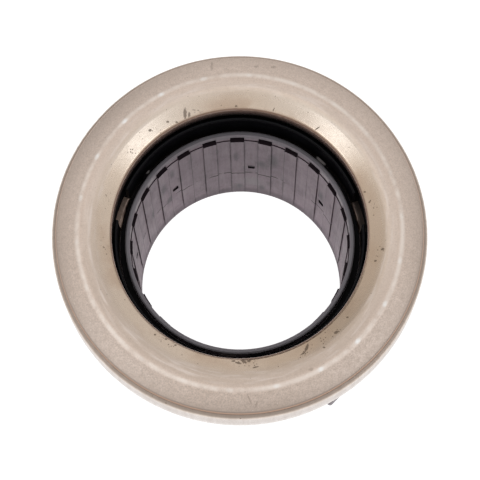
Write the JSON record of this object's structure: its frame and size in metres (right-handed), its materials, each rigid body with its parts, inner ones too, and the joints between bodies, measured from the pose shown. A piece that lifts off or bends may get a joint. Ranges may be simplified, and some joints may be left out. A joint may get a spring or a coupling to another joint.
{
  "type": "clutch release bearing",
  "caption": "Clutch release bearing: crowned steel thrust ring on caged balls in a pressed shell, clipped to a grooved plastic guide sleeve with two fork lugs.",
  "frame": {"origin": "centre of the sleeve's foot, on the bearing's axis", "axes": "+Z along the bore axis, from the sleeve's foot to the thrust face"},
  "size_m": [0.0746, 0.0746, 0.0501],
  "materials": {
    "grey_plastic": "satin",
    "spring_steel": "satin",
    "shell_steel": "satin",
    "race_steel": "satin",
    "black_rubber": "matte",
    "cage_plastic": "matte",
    "thrust_steel": "satin",
    "ball_steel": "polished"
  },
  "bodies": {
    "sleeve_unit": {"guide_sleeve": "grey_plastic", "retaining_clip_right": "spring_steel", "retaining_clip_left": "spring_steel", "retaining_clip_front": "spring_steel", "retaining_shell": "shell_steel", "lower_race": "race_steel", "inner_seal": "black_rubber"},
    "thrust_unit": {"thrust_ring": "thrust_steel"},
    "cage_unit": {"ball_cage": "cage_plastic"},
    "ball_01_unit": {"ball_01": "ball_steel"},
    "ball_02_unit": {"ball_02": "ball_steel"},
    "ball_03_unit": {"ball_03": "ball_steel"},
    "ball_04_unit": {"ball_04": "ball_steel"},
    "ball_05_unit": {"ball_05": "ball_steel"},
    "ball_06_unit": {"ball_06": "ball_steel"},
    "ball_07_unit": {"ball_07": "ball_steel"},
    "ball_08_unit": {"ball_08": "ball_steel"},
    "ball_09_unit": {"ball_09": "ball_steel"},
    "ball_10_unit": {"ball_10": "ball_steel"},
    "ball_11_unit": {"ball_11": "ball_steel"},
    "ball_12_unit": {"ball_12": "ball_steel"},
    "ball_13_unit": {"ball_13": "ball_steel"},
    "ball_14_unit": {"ball_14": "ball_steel"},
    "ball_15_unit": {"ball_15": "ball_steel"},
    "ball_16_unit": {"ball_16": "ball_steel"},
    "ball_17_unit": {"ball_17": "ball_steel"},
    "ball_18_unit": {"ball_18": "ball_steel"},
    "ball_19_unit": {"ball_19": "ball_steel"},
    "ball_20_unit": {"ball_20": "ball_steel"}
  },
  "joints": [
    {"name": "thrust_spin", "type": "hinge", "parent": "sleeve_unit", "child": "thrust_unit", "pos_m": [0, 0, 0.047], "axis": [0, 0, 1], "continuous": true},
    {"name": "cage_spin", "type": "hinge", "parent": "sleeve_unit", "child": "cage_unit", "pos_m": [0, 0, 0.04302], "axis": [0, 0, 1], "continuous": true},
    {"name": "ball_01_spin", "type": "hinge", "parent": "cage_unit", "child": "ball_01_unit", "pos_m": [0.031, 0, 0.04302], "axis": [1, 0, 0], "continuous": true},
    {"name": "ball_02_spin", "type": "hinge", "parent": "cage_unit", "child": "ball_02_unit", "pos_m": [0.02948, 0.00958, 0.04302], "axis": [0.9511, 0.309, 0], "continuous": true},
    {"name": "ball_03_spin", "type": "hinge", "parent": "cage_unit", "child": "ball_03_unit", "pos_m": [0.02508, 0.01822, 0.04302], "axis": [0.809, 0.5878, 0], "continuous": true},
    {"name": "ball_04_spin", "type": "hinge", "parent": "cage_unit", "child": "ball_04_unit", "pos_m": [0.01822, 0.02508, 0.04302], "axis": [0.5878, 0.809, 0], "continuous": true},
    {"name": "ball_05_spin", "type": "hinge", "parent": "cage_unit", "child": "ball_05_unit", "pos_m": [0.00958, 0.02948, 0.04302], "axis": [0.309, 0.9511, 0], "continuous": true},
    {"name": "ball_06_spin", "type": "hinge", "parent": "cage_unit", "child": "ball_06_unit", "pos_m": [0, 0.031, 0.04302], "axis": [0, 1, 0], "continuous": true},
    {"name": "ball_07_spin", "type": "hinge", "parent": "cage_unit", "child": "ball_07_unit", "pos_m": [-0.00958, 0.02948, 0.04302], "axis": [-0.309, 0.9511, 0], "continuous": true},
    {"name": "ball_08_spin", "type": "hinge", "parent": "cage_unit", "child": "ball_08_unit", "pos_m": [-0.01822, 0.02508, 0.04302], "axis": [-0.5878, 0.809, 0], "continuous": true},
    {"name": "ball_09_spin", "type": "hinge", "parent": "cage_unit", "child": "ball_09_unit", "pos_m": [-0.02508, 0.01822, 0.04302], "axis": [-0.809, 0.5878, 0], "continuous": true},
    {"name": "ball_10_spin", "type": "hinge", "parent": "cage_unit", "child": "ball_10_unit", "pos_m": [-0.02948, 0.00958, 0.04302], "axis": [-0.9511, 0.309, 0], "continuous": true},
    {"name": "ball_11_spin", "type": "hinge", "parent": "cage_unit", "child": "ball_11_unit", "pos_m": [-0.031, 0, 0.04302], "axis": [-1, 0, 0], "continuous": true},
    {"name": "ball_12_spin", "type": "hinge", "parent": "cage_unit", "child": "ball_12_unit", "pos_m": [-0.02948, -0.00958, 0.04302], "axis": [-0.9511, -0.309, 0], "continuous": true},
    {"name": "ball_13_spin", "type": "hinge", "parent": "cage_unit", "child": "ball_13_unit", "pos_m": [-0.02508, -0.01822, 0.04302], "axis": [-0.809, -0.5878, 0], "continuous": true},
    {"name": "ball_14_spin", "type": "hinge", "parent": "cage_unit", "child": "ball_14_unit", "pos_m": [-0.01822, -0.02508, 0.04302], "axis": [-0.5878, -0.809, 0], "continuous": true},
    {"name": "ball_15_spin", "type": "hinge", "parent": "cage_unit", "child": "ball_15_unit", "pos_m": [-0.00958, -0.02948, 0.04302], "axis": [-0.309, -0.9511, 0], "continuous": true},
    {"name": "ball_16_spin", "type": "hinge", "parent": "cage_unit", "child": "ball_16_unit", "pos_m": [0, -0.031, 0.04302], "axis": [0, -1, 0], "continuous": true},
    {"name": "ball_17_spin", "type": "hinge", "parent": "cage_unit", "child": "ball_17_unit", "pos_m": [0.00958, -0.02948, 0.04302], "axis": [0.309, -0.9511, 0], "continuous": true},
    {"name": "ball_18_spin", "type": "hinge", "parent": "cage_unit", "child": "ball_18_unit", "pos_m": [0.01822, -0.02508, 0.04302], "axis": [0.5878, -0.809, 0], "continuous": true},
    {"name": "ball_19_spin", "type": "hinge", "parent": "cage_unit", "child": "ball_19_unit", "pos_m": [0.02508, -0.01822, 0.04302], "axis": [0.809, -0.5878, 0], "continuous": true},
    {"name": "ball_20_spin", "type": "hinge", "parent": "cage_unit", "child": "ball_20_unit", "pos_m": [0.02948, -0.00958, 0.04302], "axis": [0.9511, -0.309, 0], "continuous": true}
  ],
  "couplings": [
    {"joint": "cage_spin", "follows": "thrust_spin", "ratio": 0.5},
    {"joint": "ball_01_spin", "follows": "thrust_spin", "ratio": -4.3417},
    {"joint": "ball_02_spin", "follows": "thrust_spin", "ratio": -4.3417},
    {"joint": "ball_03_spin", "follows": "thrust_spin", "ratio": -4.3417},
    {"joint": "ball_04_spin", "follows": "thrust_spin", "ratio": -4.3417},
    {"joint": "ball_05_spin", "follows": "thrust_spin", "ratio": -4.3417},
    {"joint": "ball_06_spin", "follows": "thrust_spin", "ratio": -4.3417},
    {"joint": "ball_07_spin", "follows": "thrust_spin", "ratio": -4.3417},
    {"joint": "ball_08_spin", "follows": "thrust_spin", "ratio": -4.3417},
    {"joint": "ball_09_spin", "follows": "thrust_spin", "ratio": -4.3417},
    {"joint": "ball_10_spin", "follows": "thrust_spin", "ratio": -4.3417},
    {"joint": "ball_11_spin", "follows": "thrust_spin", "ratio": -4.3417},
    {"joint": "ball_12_spin", "follows": "thrust_spin", "ratio": -4.3417},
    {"joint": "ball_13_spin", "follows": "thrust_spin", "ratio": -4.3417},
    {"joint": "ball_14_spin", "follows": "thrust_spin", "ratio": -4.3417},
    {"joint": "ball_15_spin", "follows": "thrust_spin", "ratio": -4.3417},
    {"joint": "ball_16_spin", "follows": "thrust_spin", "ratio": -4.3417},
    {"joint": "ball_17_spin", "follows": "thrust_spin", "ratio": -4.3417},
    {"joint": "ball_18_spin", "follows": "thrust_spin", "ratio": -4.3417},
    {"joint": "ball_19_spin", "follows": "thrust_spin", "ratio": -4.3417},
    {"joint": "ball_20_spin", "follows": "thrust_spin", "ratio": -4.3417}
  ]
}
